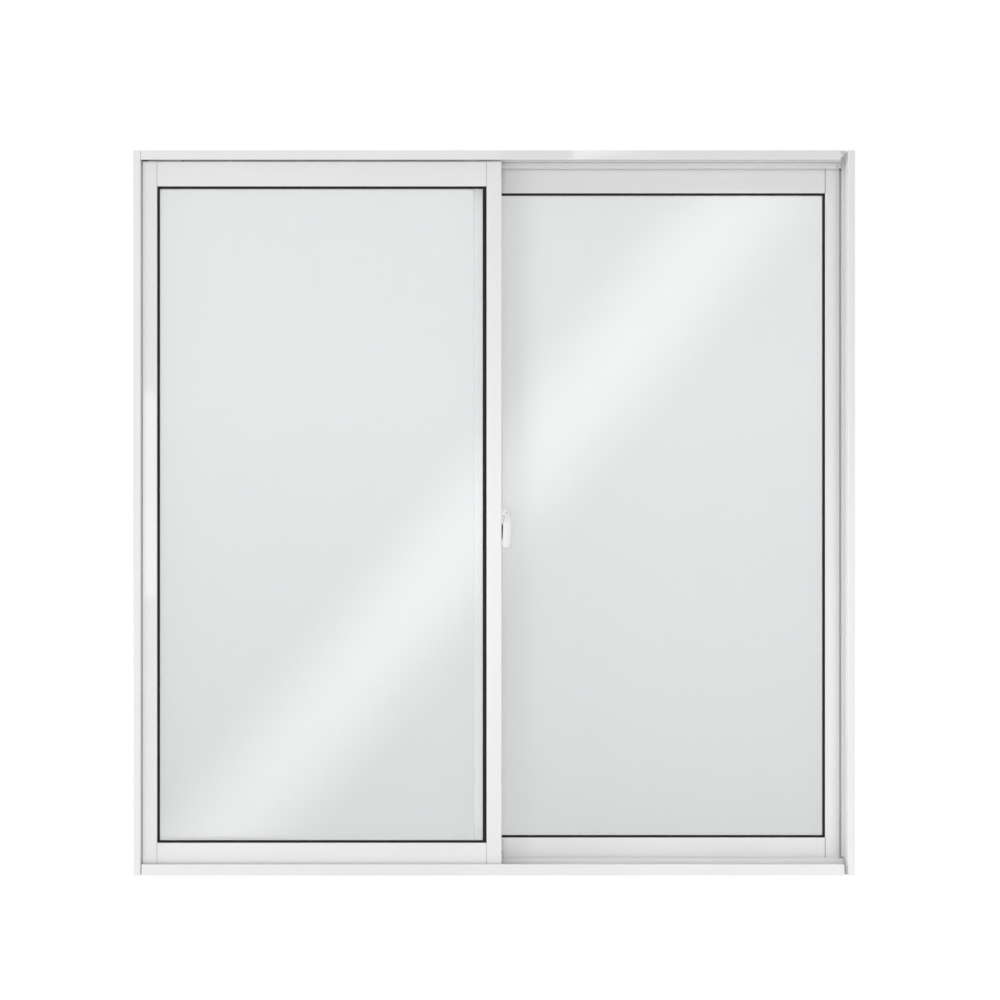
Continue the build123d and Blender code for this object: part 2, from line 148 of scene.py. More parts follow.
coating = {"colour": "#F3F3F3", "shade": "#EEEEEE", "cloudsPerM": 6.0, "roughness": 0.3, "spread": 0.05,
           "peelMm": 3.0, "peelDepthMm": 0.006, "peelStrength": 0.6, "ior": 1.5, "topRoughness": 0.04}
# enamel is the frame's powder coat made darker for the lever: painted shade, which tones the lever down to
# the brightness of the stile beside it
enamel = {**coating, "colour": "#E6E7E7", "shade": "#E1E2E2", "roughness": 0.25, "peelMm": 2.0,
          "peelDepthMm": 0.004}


def makePolyesterPowderCoat(name, look):
    # Polyester powder coat baked on aluminium or zinc: gloss white with an orange-peel ripple that wavers
    # the reflections. The real ripple is 1 to 2 mm wide and is drawn a little wider so that it shows.
    material, tree = newMaterial(name)
    cloud = addNoise(tree, look["cloudsPerM"], 3.0)
    peel = addNoise(tree, 1 / (look["peelMm"] * mm), 2.0)
    bump = addBump(tree, peel, look["peelStrength"], look["peelDepthMm"])
    coat = addNode(tree, "ShaderNodeBsdfPrincipled", {
        "Base Color": addTone(tree, cloud, look["shade"], look["colour"]), "IOR": look["ior"],
        "Roughness": addRoughness(tree, cloud, look), "Normal": bump, "Coat Normal": bump,
        "Coat Weight": 1.0, "Coat Roughness": look["topRoughness"], "Coat IOR": look["ior"]})
    addNode(tree, "ShaderNodeOutputMaterial", {"Surface": coat})
    return material


glazing = {"tint": "#FAFBFC", "shadowTint": "#FDFEFE", "ior": 1.52, "film": 0.2, "dustPerM": 3.0,
           "dustRoughness": 0.012}


def makeFloatGlass(name, look):
    # Float glass, drawn and polished flat: clear and slightly cool, with a thin film of dust that takes
    # the shadow of the stile beside it. Lamps pass it without a caustic.
    material, tree = newMaterial(name)
    dust = addNoise(tree, look["dustPerM"], 5.0)
    pane = addNode(tree, "ShaderNodeBsdfPrincipled", {
        "Base Color": fromHex(look["tint"]), "IOR": look["ior"], "Transmission Weight": 1.0 - look["film"],
        "Roughness": addRange(tree, dust, 0.0, 1.0, 0.0, look["dustRoughness"])})
    through = addNode(tree, "ShaderNodeBsdfTransparent", {"Color": fromHex(look["shadowTint"])})
    isShadow = addNode(tree, "ShaderNodeLightPath", output="Is Shadow Ray")
    both = addNode(tree, "ShaderNodeMixShader", {0: isShadow, 1: pane, 2: through})
    addNode(tree, "ShaderNodeOutputMaterial", {"Surface": both})
    return material


sealing = {"colour": "#141416", "bloom": "#1F2022", "bloomPerM": 9.0, "roughness": 0.6, "spread": 0.08,
           "grainMm": 1.2, "grainDepthMm": 0.02, "grainStrength": 0.4, "ior": 1.5, "specular": 0.25}
filling = {**sealing, "colour": "#5A5A5A", "bloom": "#6A6A6A", "roughness": 0.55, "grainMm": 1.5}


def makeEpdmRubber(name, look):
    # Extruded EPDM rubber: near-black and satin, with a paler bloom in clouds and a fine matt grain.
    # Silicone sealer has the same satin look in grey.
    material, tree = newMaterial(name)
    cloud = addNoise(tree, look["bloomPerM"], 5.0)
    grain = addNoise(tree, 1 / (look["grainMm"] * mm), 2.0)
    rubber = addNode(tree, "ShaderNodeBsdfPrincipled", {
        "Base Color": addTone(tree, cloud, look["colour"], look["bloom"]), "IOR": look["ior"],
        "Roughness": addRoughness(tree, grain, look), "Specular IOR Level": look["specular"],
        "Normal": addBump(tree, grain, look["grainStrength"], look["grainDepthMm"])})
    addNode(tree, "ShaderNodeOutputMaterial", {"Surface": rubber})
    return material


pile = {"colour": "#8A8D90", "root": "#5E6164", "roughness": 0.85, "sheen": 0.25, "tuftMm": 1.5,
        "tuftDepthMm": 0.1, "tuftStrength": 0.5}


def makePolypropylenePile(name, look):
    # Woven polypropylene pile: dull grey yarn, darker between the tufts, with a soft sheen at a slant.
    material, tree = newMaterial(name)
    yarn = addNoise(tree, 1 / (look["tuftMm"] * mm), 3.0)
    fibre = addNode(tree, "ShaderNodeBsdfPrincipled", {
        "Base Color": addTone(tree, yarn, look["root"], look["colour"]), "Roughness": look["roughness"],
        "Sheen Weight": look["sheen"],
        "Normal": addBump(tree, yarn, look["tuftStrength"], look["tuftDepthMm"])})
    addNode(tree, "ShaderNodeOutputMaterial", {"Surface": fibre})
    return material


moulding = {"flowPerM": 40.0, "flowBend": 0.6, "spread": 0.06, "grainDepthMm": 0.01, "grainStrength": 0.3,
            "ior": 1.48}
plastics = {
    "acetalWheel": {"colour": "#E8E5DB", "shade": "#DAD6CA", "roughness": 0.35, "grainMm": 2.0},
    "nylonCarriage": {"colour": "#2B2B2C", "shade": "#363637", "roughness": 0.5, "grainMm": 1.0},
    "polyethyleneGuide": {"colour": "#EDEDED", "shade": "#E2E2E2", "roughness": 0.45, "grainMm": 2.0},
}


def makeMouldedPlastic(name, look):
    # Injection-moulded plastic: satin, with faint flow clouds and the fine grain of the mould's steel.
    material, tree = newMaterial(name)
    flow = addNoise(tree, look["flowPerM"], 4.0, look["flowBend"])
    grain = addNoise(tree, 1 / (look["grainMm"] * mm), 1.0)
    body = addNode(tree, "ShaderNodeBsdfPrincipled", {
        "Base Color": addTone(tree, flow, look["shade"], look["colour"]), "IOR": look["ior"],
        "Roughness": addRoughness(tree, flow, look),
        "Normal": addBump(tree, grain, look["grainStrength"], look["grainDepthMm"])})
    addNode(tree, "ShaderNodeOutputMaterial", {"Surface": body})
    return material


drawing = {"stretch": (1.0, 0.08, 1.0), "spread": 0.08, "lineDepthMm": 0.01, "lineStrength": 0.3}
metals = {
    "brightSteelAxle": {"colour": "#BFC1C3", "shade": "#A6A8AB", "roughness": 0.28, "lineMm": 0.6},
    "zincPlatedSteel": {"colour": "#C3C6CA", "shade": "#A9ADB2", "roughness": 0.34, "lineMm": 0.8},
    "stainlessScrew": {"colour": "#CBCCCD", "shade": "#B4B5B7", "roughness": 0.24, "lineMm": 0.5},
}


def makeSteel(name, look):
    # Drawn or pressed steel: bright, with the fine lines of drawing that blur its highlights.
    material, tree = newMaterial(name)
    place = addNode(tree, "ShaderNodeTexCoord", output="Object")
    stretched = addNode(tree, "ShaderNodeMapping", {"Scale": look["stretch"], "Vector": place})
    lines = addNoise(tree, 1 / (look["lineMm"] * mm), 3.0, vector=stretched)
    metal = addNode(tree, "ShaderNodeBsdfPrincipled", {
        "Metallic": 1.0, "Base Color": addTone(tree, lines, look["shade"], look["colour"]),
        "Roughness": addRoughness(tree, lines, look),
        "Normal": addBump(tree, lines, look["lineStrength"], look["lineDepthMm"])})
    addNode(tree, "ShaderNodeOutputMaterial", {"Surface": metal})
    return material


powderCoat = makePolyesterPowderCoat("powderCoatedAluminium", coating)
latchPaint = makePolyesterPowderCoat("powderCoatedDieCast", enamel)
floatGlass = makeFloatGlass("clearFloatGlass", glazing)
epdmRubber = makeEpdmRubber("epdmRubber", sealing)
jointSealer = makeEpdmRubber("siliconeJointSealer", filling)
brushPile = makePolypropylenePile("polypropylenePile", pile)
acetal, nylon, polyethylene = (makeMouldedPlastic(n, {**moulding, **look}) for n, look in plastics.items())
axleSteel, zincSteel, screwSteel = (makeSteel(n, {**drawing, **look}) for n, look in metals.items())

finishes = {
    "white_aluminium": powderCoat, "glass": floatGlass, "gasket_rubber": epdmRubber, "brush_pile": brushPile,
    "roller_nylon": acetal, "carriage_plastic": nylon, "axle_steel": axleSteel,
    "guide_plastic": polyethylene, "latch_steel": zincSteel, "latch_enamel": latchPaint,
}
for subpart in frame["record"]["subparts"]:
    node = frame["nodes"][subpart["node"]]
    node.data.materials.clear()
    node.data.materials.append(finishes[subpart["material_slot"]])
print("materials:", len(bpy.data.materials))


# Glazing seals

# sideMm, meetingMm, outerMm, topMm and bottomMm are what shows beside the profiles
seal = {"lipMm": 2.2, "lipPower": 2.2, "lipPoints": 10, "halfWidthMm": 4.9, "glassHalfMm": 2.0,
        "depthMm": 11.0, "baseMm": 2.0, "sideMm": 2.9, "meetingMm": 6.6, "outerMm": 3.3, "topMm": 2.6,
        "bottomMm": 3.0}


def sealSection():
    # Half of a U: the lip rises from the glass as a quarter of a superellipse of power lipPower, runs flat
    # to the pocket's floor, and the back half mirrors it; the inside follows the edge of the glass
    turn = np.linspace(0.0, math.pi / 2, seal["lipPoints"])
    half, glassHalf = seal["halfWidthMm"], seal["glassHalfMm"]
    u = seal["lipMm"] * (1 - np.cos(turn) ** (2 / seal["lipPower"]))
    v = glassHalf + (half - glassHalf) * np.sin(turn) ** (2 / seal["lipPower"])
    end = seal["sideMm"] + seal["depthMm"]
    u = np.concatenate([u, [end, end], u[::-1], [end - seal["baseMm"]] * 2])
    v = np.concatenate([v, [half, -half], -v[::-1], [-glassHalf, glassHalf]])
    return u * mm, v * mm


def addSeal(prefix, rightMm):
    # The section is carried round the pane. Each side's inner edge moves outwards by u, which is stretched
    # so that the wanted width shows, and the corners mitre
    low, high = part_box(prefix + "_glazing_gasket")
    u, v = sealSection()
    reach = (seal["sideMm"] + seal["depthMm"]) * mm
    shown = (seal["sideMm"], rightMm, seal["bottomMm"], seal["topMm"])
    left, right, bottom, top = ((reach - u) * (seal["depthMm"] + s) * mm / reach for s in shown)
    left, right, bottom, top = low.x + left, high.x - right, low.z + bottom, high.z - top
    y = (low.y + high.y) / 2 - v
    corners = [(left, bottom), (right, bottom), (right, top), (left, top)]
    points = np.stack([np.stack([x, y, z], 1) for x, z in corners])
    faces = gridFaces(4, len(u), True, True)
    piece = addMesh(prefix + "_seal", points, faces[:, ::-1], epdmRubber)
    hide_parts(prefix + "_glazing_gasket")


addSeal("front_sash", seal["meetingMm"])
addSeal("rear_sash", seal["outerMm"])
print("glazing seals made")


# Sealed joints

joint = {"gapMm": 0.35, "depthMm": 1.5, "sharpAngle": 30.0,
         "sashes": {"front_sash": {"spreadMm": 0.0, "recessMm": 0.15},
                    "rear_sash": {"spreadMm": 0.28, "recessMm": -0.06}}}


def addJoints(prefix, spreadMm, recessMm):
    # A flat strip fills the front and the back of each open joint between a rail and a stile. Its eight
    # corners are the joint's box, widened by spreadMm and drawn back from the faces of the sash by
    # recessMm. A recess below zero is a film wiped out over the faces
    boxes = []
    gap, depth, spread, back = (size * mm for size in (joint["gapMm"], joint["depthMm"], spreadMm, recessMm))
    for kind in ("top", "bottom"):
        low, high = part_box(f"{prefix}_{kind}_rail")
        for x0, x1 in ((low.x - gap - spread, low.x + spread), (high.x - spread, high.x + gap + spread)):
            for y0 in (low.y + back, high.y - back - depth):
                boxes.append([(x, y, z) for z in (low.z + back, high.z - back) for y in (y0, y0 + depth)
                              for x in (x0, x1)])
    faces = (np.arange(len(boxes))[:, None, None] * 8 + boxFaces).reshape(-1, 4)
    addMesh(prefix + "_joints", boxes, faces, jointSealer, joint["sharpAngle"])


for prefix, sizes in joint["sashes"].items():
    addJoints(prefix, **sizes)
print("joints sealed")


# Brush seals

brush = {"pitchMm": 1.5, "acrossCount": 4, "halfFill": 0.46, "tipSize": 0.55, "leanMm": 0.25,
         "shortest": 0.12, "backMm": 0.7, "backShare": 0.3, "sharpAngle": 80.0, "seed": 4}


def addBrush(node, pileAxis, pileSign):
    # Tufts stand on a woven backing. Each is a four-sided taper whose tip leans by up to leanMm and whose
    # length falls short by up to the share shortest, both seeded; pileAxis is the axis that the yarn
    # stands along, and the strip runs along Z
    low, high = (np.array(c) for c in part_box(node))
    acrossAxis = 1 - pileAxis
    length, width = high[pileAxis] - low[pileAxis], high[acrossAxis] - low[acrossAxis]
    count = int((high[2] - low[2]) / (brush["pitchMm"] * mm))
    back = min(brush["backMm"] * mm, length * brush["backShare"])
    chance = np.random.default_rng(brush["seed"])
    along = low[2] + (np.arange(count) + 0.5) * (high[2] - low[2]) / count
    across = low[acrossAxis] + (np.arange(brush["acrossCount"]) + 0.5) * width / brush["acrossCount"]
    z, a = (g.ravel() for g in np.meshgrid(along, across, indexing="ij"))
    lean = chance.uniform(-1, 1, (2, z.size)) * brush["leanMm"] * mm
    tall = length - chance.uniform(0, brush["shortest"], z.size) * length
    halfA, halfZ = width / brush["acrossCount"] * brush["halfFill"], brush["pitchMm"] * mm * brush["halfFill"]
    square = np.array([(-1, -1), (1, -1), (1, 1), (-1, 1)])
    sides = ((acrossAxis, a, lean[0], square[:, 0] * halfA), (2, z, lean[1], square[:, 1] * halfZ))
    points = np.zeros((z.size, 8, 3))
    start = low[pileAxis] if pileSign > 0 else high[pileAxis]
    for level, size in ((0, 1.0), (1, brush["tipSize"])):
        ring = slice(4 * level, 4 * level + 4)
        for axis, middle, shift, corner in sides:
            points[:, ring, axis] = np.clip(
                (middle + level * shift)[:, None] + corner * size, low[axis], high[axis])
        points[:, ring, pileAxis] = (start + pileSign * (back / 2 + level * (tall - back / 2)))[:, None]
    taper = np.array([(0, 1, 5, 4), (1, 2, 6, 5), (2, 3, 7, 6), (3, 0, 4, 7), (4, 5, 6, 7)])
    faces = (np.arange(z.size)[:, None, None] * 8 + taper).reshape(-1, 4)
    if (pileAxis == 0) == (pileSign > 0):
        faces = faces[:, ::-1]
    base = np.array([(p, q, r) for r in (low[2], high[2]) for q in (low[acrossAxis], high[acrossAxis])
                     for p in (start, start + pileSign * back)])
    base = base if pileAxis == 0 else base[:, [1, 0, 2]]
    points = np.concatenate([points.reshape(-1, 3), base])
    faces = np.concatenate([faces, boxFaces + z.size * 8])
    piece = addMesh(node + "_pile", points, faces, brushPile, brush["sharpAngle"])
    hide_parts(node)


addBrush("front_sash_side_brush", 0, -1)
addBrush("rear_sash_side_brush", 0, 1)
addBrush("front_sash_meeting_brush", 1, 1)
addBrush("rear_sash_meeting_brush", 1, -1)
print("brush seals made")


# Latch lever

lever = {
    "halfWidthMm": {"drop": [-7, 0, 4, 8, 12, 17, 24, 30, 44, 54, 62],
                    "size": [5.3, 5.1, 4.3, 4.3, 5.2, 6.7, 7.4, 7.7, 7.8, 7.2, 6.2]},
    "centreMm": {"drop": [-7, 0, 4, 8, 12, 17, 28, 44, 54, 62],
                 "size": [0.2, 0.4, 1.2, 1.8, 1.7, 1.2, 1.1, 0.8, -0.3, -1.1]},
    "smoothing": 5, "power": 4.0, "stations": 72, "around": 48, "topMm": 6.2, "lowMm": 5.0, "edgeMm": 1.6,
    "grooveMm": 1.3, "grooveWidth": 0.34, "grooveDropMm": 10.0, "grooveHalfMm": 6.5,
    "dimpleMm": 0.7, "dimpleDropMm": 50.0, "dimpleAsideMm": -0.6, "dimpleSizeMm": (1.3, 1.5),
    "sharpAngle": 60.0,
}


def smoothCurve(drop, curve):
    # the curve's straight stretches, rounded by a moving mean over the stations
    count = lever["smoothing"]
    values = np.interp(drop, curve["drop"], curve["size"])
    return np.convolve(np.pad(values, count // 2, "edge"), np.ones(count) / count, "valid")


def addLever():
    # Half-width and centre line are smooth curves of the drop below the pin, and each station's section is
    # a superellipse. The top end closes as a circle and the low end as (1 - (1 - t)^3)^0.4. The front is
    # hollowed by a groove down the neck and a small dimple low on the body
    low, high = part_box("latch_lever")
    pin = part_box("latch_pivot_pin")
    pinX, pinZ = (pin[0].x + pin[1].x) / 2, (pin[0].z + pin[1].z) / 2
    s = 0.5 - 0.5 * np.cos(np.linspace(0, 1, lever["stations"]) * math.pi)  # closer together at the ends
    z = high.z + (low.z - high.z) * s
    drop = (pinZ - z) / mm
    halfWidth, centre = smoothCurve(drop, lever["halfWidthMm"]), smoothCurve(drop, lever["centreMm"])
    endTop = np.clip((high.z - z) / (lever["topMm"] * mm), 0, 1)
    endLow = np.clip((z - low.z) / (lever["lowMm"] * mm), 0, 1)
    cap = np.sqrt(1 - (1 - endTop) ** 2) * (1 - (1 - endLow) ** 3) ** 0.4
    nearEnd = np.minimum(endTop * lever["topMm"], endLow * lever["lowMm"]) / lever["edgeMm"]
    thick = (1 - (1 - np.clip(nearEnd, 0, 1)) ** 2) ** 0.5
    angle = np.linspace(0, 2 * math.pi, lever["around"], endpoint=False)
    side, front = superellipse(angle, 2 / lever["power"])
    acrossMm = side * (halfWidth * cap)[:, None] + centre[:, None]
    middle, half = (low.y + high.y) / 2, (high.y - low.y) / 2
    alongGroove = np.exp(-((drop - lever["grooveDropMm"]) / lever["grooveHalfMm"]) ** 4)[:, None]
    groove = lever["grooveMm"] * np.exp(-(side / lever["grooveWidth"]) ** 2) * alongGroove
    wide, tall = lever["dimpleSizeMm"]
    dimple = lever["dimpleMm"] * np.exp(-((acrossMm - lever["dimpleAsideMm"]) / wide) ** 2
                                        - ((drop[:, None] - lever["dimpleDropMm"]) / tall) ** 2)
    x = pinX + acrossMm * mm
    y = middle - front * half * thick[:, None] + np.clip(front, 0, 1) * (groove + dimple) * mm
    points = np.stack([x, y, np.broadcast_to(z[:, None], x.shape)], 2)
    faces = gridFaces(lever["stations"], lever["around"], False, True)
    piece = addMesh("lever_shell", points, faces, latchPaint, lever["sharpAngle"])
    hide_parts("latch_lever")


addLever()

leverGapStrip = {"highMm": 2.7, "wideMm": 9.0, "longMm": 27.0, "gapMm": 0.5, "inMm": 6.0, "power": 4.0,
          "stations": 24, "around": 16, "sharpAngle": 60.0}


def addLeverGapStrip():
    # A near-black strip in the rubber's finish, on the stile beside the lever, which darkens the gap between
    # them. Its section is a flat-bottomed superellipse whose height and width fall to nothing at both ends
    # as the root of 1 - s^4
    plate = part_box("latch_base")[0]
    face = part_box("front_sash_meeting_stile")[1].x
    s = np.linspace(-1, 1, leverGapStrip["stations"])
    fade = ((1 - s ** 4) ** 0.5)[:, None]
    across, out = superellipse(np.linspace(0, math.pi, leverGapStrip["around"]), 2 / leverGapStrip["power"])
    x = face + fade * leverGapStrip["highMm"] * mm * out
    y = plate.y + (leverGapStrip["inMm"] + fade * leverGapStrip["wideMm"] / 2 * across) * mm
    z = np.broadcast_to((plate.z - (leverGapStrip["gapMm"] + (1 + s) * leverGapStrip["longMm"] / 2) * mm)[:, None], x.shape)
    faces = gridFaces(leverGapStrip["stations"], leverGapStrip["around"], False, True)
    addMesh("lever_gap_strip", np.stack([x, y, z], 2), faces, epdmRubber, leverGapStrip["sharpAngle"])


addLeverGapStrip()
print("latch lever and buffer made")


# Wind blocks

# an inset of a metre closes the end
block = {"wideMm": 6.8, "power": 0.22, "around": 32, "sharpAngle": 40.0,
         "depths": [-0.5, -0.5, -0.46, -0.38, 0.38, 0.46, 0.5, 0.5],
         "insetsMm": [1e3, 0.8, 0.24, 0.0, 0.0, 0.24, 0.8, 1e3],
         "top": {"x": (580.2, 588.8), "z": (1189.0, 1204.3)},
         "bottom": {"x": (586.8, 592.8), "z": (1.7, 19.4)}}


def addWindBlocks():
    # Moulded blocks close the middle track beside the jambs, which the photo shows pale and shut. Each is
    # a superellipse, carried through the depth and drawn in by the insets at both ends
    inset = np.array(block["insetsMm"])
    depth = np.array(block["depths"]) * block["wideMm"]
    c, s = superellipse(np.linspace(0, 2 * math.pi, block["around"], endpoint=False), block["power"])
    faces = gridFaces(len(depth), block["around"], False, True)
    points, every = [], []
    for end in (block["top"], block["bottom"]):
        halfX, halfZ = (end["x"][1] - end["x"][0]) / 2, (end["z"][1] - end["z"][0]) / 2
        for side in (-1, 1):
            x = np.maximum(halfX - inset, 0)[:, None] * c + side * sum(end["x"]) / 2
            z = np.maximum(halfZ - inset, 0)[:, None] * s + sum(end["z"]) / 2
            every.append(faces[:, ::-1] + len(points) * x.size)
            points.append(np.stack([x, np.broadcast_to(depth[:, None], x.shape), z], 2).reshape(-1, 3) * mm)
    addMesh("wind_blocks", np.concatenate(points), np.concatenate(every), polyethylene,
            block["sharpAngle"])


addWindBlocks()
print("wind blocks made")


# Screws

screw = {"recessMm": 0.6, "recessRadius": 0.55, "recessEdge": 24.0, "rings": 12, "around": 40,
         "sharpAngle": 50.0}
latchPlateScrew = {"radiusMm": 2.2, "highMm": 0.9, "footRatio": 1.0, "footMm": 0.2,
                   "outMm": 2.0, "fromLowMm": 4.5, "fromHighMm": 3.0}
stileScrew = {"radiusMm": 3.0, "highMm": 1.2, "footRatio": 1.0, "footMm": 0.2,
              "fromFaceMm": 12.5, "fromEndMm": 20.0}
cornerScrew = {"radiusMm": 3.4, "highMm": 0.35, "footRatio": 0.6, "footMm": 1.3,
               "inMm": 0.4, "fromFaceMm": 6.1, "fromEndMm": 4.7}


def addScrews(name, places, turn, head):
    # A head's height falls from the middle to the rim as the root of 1 - r^2.6, less a cross recess whose
    # depth is the fourth power of the cosine of twice the angle and fades out at recessRadius. The foot is
    # the ring under the rim. turn is 1 where the heads face +X and -1 where they face -X
    r = np.concatenate([np.linspace(0, 1, screw["rings"]), [head["footRatio"]]])
    angle = np.linspace(0, 2 * math.pi, screw["around"], endpoint=False)
    dome = np.sqrt(np.clip(1 - r ** 2.6, 0, 1)) * head["highMm"]
    fade = 1 / (1 + np.exp((r - screw["recessRadius"]) * screw["recessEdge"]))
    height = dome[:, None] - screw["recessMm"] * np.cos(2 * angle) ** 4 * fade[:, None]
    height[0] = height[0].min()
    height[-1] = -head["footMm"]
    y = r[:, None] * head["radiusMm"] * np.cos(angle)
    z = r[:, None] * head["radiusMm"] * np.sin(angle)
    shell = np.stack([turn * height, y, z], 2).reshape(-1, 3) * mm
    faces = gridFaces(len(r), len(angle), False, True)
    faces = faces if turn > 0 else faces[:, ::-1]
    points = np.concatenate([shell + np.array(p) for p in places])
    faces = np.concatenate([faces + i * len(shell) for i in range(len(places))])
    addMesh(name, points, faces, screwSteel, screw["sharpAngle"])


plateLow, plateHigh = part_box("latch_base")
stileLow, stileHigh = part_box("front_sash_meeting_stile")
rearLow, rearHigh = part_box("rear_sash_meeting_stile")
plateX = stileHigh.x + latchPlateScrew["outMm"] * mm
frontY, rearY = stileLow.y + stileScrew["fromFaceMm"] * mm, rearHigh.y - stileScrew["fromFaceMm"] * mm
ends = (plateLow.z + latchPlateScrew["fromLowMm"] * mm, plateHigh.z - latchPlateScrew["fromHighMm"] * mm)
addScrews("latch_plate_screws", [(plateX, frontY, z) for z in ends], 1, latchPlateScrew)
ends = (stileLow.z + stileScrew["fromEndMm"] * mm, stileHigh.z - stileScrew["fromEndMm"] * mm)
for label, x, y, turn in (("front", stileHigh.x, frontY, 1), ("rear", rearLow.x, rearY, -1)):
    addScrews(label + "_stile_screws", [(x, y, z) for z in ends], turn, stileScrew)
for side, turn in (("left", -1), ("right", 1)):
    low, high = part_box(side + "_jamb")
    x = (high.x if turn > 0 else low.x) - turn * cornerScrew["inMm"] * mm
    inY, inZ = cornerScrew["fromFaceMm"] * mm, cornerScrew["fromEndMm"] * mm
    places = [(x, y, z) for y in (low.y + inY, high.y - inY) for z in (low.z + inZ, high.z - inZ)]
    addScrews(side + "_corner_screws", places, turn, cornerScrew)
print("screws made")


# Stage, lamps and camera

# levels of the studio by direction; each pair is a low and a high end. shade is a painted shadow: a
# darker strip of the backdrop, seen through the rear pane beside the meeting stile, that stands in for
# the stile's shadow on the pane
room = {"left": 0.31, "right": 0.16, "back": 0.6, "front": 0.62, "frontFrom": -0.7, "top": 0.7,
        "topFrom": 0.5, "mirroredZ": (-0.2, 0.25), "mirrored": (0.9, 1.0), "behindZ": (-0.216, 0.14),
        "behind": (0.606, 0.77), "shade": (-0.01, -0.13), "paintedShadowX": 0.012, "paintedShadowHalfWidth": 0.03}
# seen is what the camera sees of the floor, bounce what it gives to the window at each distance
floor = {"paint": "#F4F4F4", "cloudsPerM": 1.5, "roughness": 0.8, "spread": 0.05, "specular": 0.1,
         "sizeM": 14.0, "seenGlow": 1.19, "seenShare": 0.78, "bounce": 0.86,
         "bounceNear": 0.7, "nearM": (0.2, 0.6), "bounceFar": 0.4, "farM": (2.5, 4.0)}
# what the glass and the gloss paint mirror, behind the camera: X range, Z range and glow. The band's two
# panels fade out beside its line, and the flag blocks what is behind it
cards = {
    "mirrorBandLeft": {"x": (-1.76, -0.045), "z": (-0.93, 2.48), "glow": 2.8, "fades": True},
    "mirrorBandRight": {"x": (0.045, 1.76), "z": (-0.93, 2.48), "glow": 2.45, "fades": True},
    "mirrorStile": {"x": (-1.84, -1.77), "z": (0.32, 1.40), "glow": 2.6},
    "mirrorHead": {"x": (0.41, 0.89), "z": (2.60, 2.70), "glow": 3.0},
    "headFlag": {"x": (0.04, 1.83), "z": (2.47, 4.60), "glow": 0.1, "blocks": True},
    "mirrorStrip": {"x": (-0.103, -0.045), "z": (-0.96, 2.48), "glow": 2.4, "y": -3.98},
}
bandLine = {"start": (-1.284, -0.767), "end": (1.292, 2.388), "halfWidth": 0.44}


def addPlane(name, corners, material):
    mesh = bpy.data.meshes.new(name)
    mesh.from_pydata(corners, [], [(0, 1, 2, 3)])
    mesh.materials.append(material)
    plane = bpy.data.objects.new(name, mesh)
    scene.collection.objects.link(plane)
    return plane


def makeFloor():
    # Painted plywood studio floor: white for the eye, with the faint shadow of what stands on it
    material, tree = newMaterial("paintedStudioFloor")
    cloud = addNoise(tree, floor["cloudsPerM"], 2.0)
    paint = addNode(tree, "ShaderNodeBsdfPrincipled", {
        "Base Color": fromHex(floor["paint"]), "Specular IOR Level": floor["specular"],
        "Roughness": addRoughness(tree, cloud, floor)})
    glow = addNode(tree, "ShaderNodeEmission", {"Strength": floor["seenGlow"]})
    seen = addNode(tree, "ShaderNodeMixShader", {0: floor["seenShare"], 1: paint, 2: glow})
    place = addNode(tree, "ShaderNodeTexCoord", output="Object")
    distance = addNode(tree, "ShaderNodeVectorMath", {"operation": "LENGTH", 0: place}, "Value")
    near = addRange(tree, distance, *floor["nearM"], floor["bounceNear"], floor["bounce"])
    far = addRange(tree, distance, *floor["farM"], floor["bounce"], floor["bounceFar"])
    bounce = addNode(tree, "ShaderNodeEmission", {"Strength": addMath(tree, "MINIMUM", near, far)})
    isCamera = addNode(tree, "ShaderNodeLightPath", output="Is Camera Ray")
    both = addNode(tree, "ShaderNodeMixShader", {0: isCamera, 1: bounce, 2: seen})
    addNode(tree, "ShaderNodeOutputMaterial", {"Surface": both})
    h = floor["sizeM"] / 2
    plane = addPlane("studioFloor", [(-h, -h, 0), (h, -h, 0), (h, h, 0), (-h, h, 0)], material)
    plane.visible_glossy = plane.visible_transmission = False


def makeWorld():
    # White for the camera; a paler or darker studio for what is mirrored and for what shows through the
    # glass, with a painted shadow beside the meeting stile in what shows through the glass
    world = bpy.data.worlds.new("studio")
    world.use_nodes = True
    scene.world = world
    tree = world.node_tree
    tree.nodes.clear()
    direction = addNode(tree, "ShaderNodeTexCoord", output="Generated")
    x, y, z = (addNode(tree, "ShaderNodeSeparateXYZ", {0: direction}, axis) for axis in "XYZ")
    level = addRange(tree, x, -1.0, 1.0, room["left"], room["right"])
    level = addRange(tree, y, 0.0, 1.0, level, room["back"])
    level = addRange(tree, y, room["frontFrom"], -1.0, level, room["front"])
    level = addMath(tree, "ADD", level, addRange(tree, z, room["topFrom"], 1.0, 0.0, room["top"]))
    mirrored = addRange(tree, z, *room["mirroredZ"], *room["mirrored"])
    # painted shadow: what shows through the glass is darker in a strip beside the meeting stile, deeper
    # towards the top, standing in for the stile's shadow on the rear pane
    aside = addMath(tree, "ABSOLUTE", addMath(tree, "SUBTRACT", x, room["paintedShadowX"]))
    depth = addRange(tree, z, *room["behindZ"], *room["shade"])
    shade = addRange(tree, aside, 0.0, room["paintedShadowHalfWidth"], depth, 0.0, "SMOOTHSTEP")
    behind = addMath(tree, "ADD", addRange(tree, z, *room["behindZ"], *room["behind"]), shade)
    for ray, seen in (("Camera", 1.0), ("Glossy", mirrored), ("Transmission", behind)):
        isRay = addNode(tree, "ShaderNodeLightPath", output=f"Is {ray} Ray")
        level = addNode(tree, "ShaderNodeMix", {0: isRay, 2: level, 3: seen})
    sky = addNode(tree, "ShaderNodeBackground", {"Color": (1, 1, 1, 1), "Strength": level})
    addNode(tree, "ShaderNodeOutputWorld", {"Surface": sky})


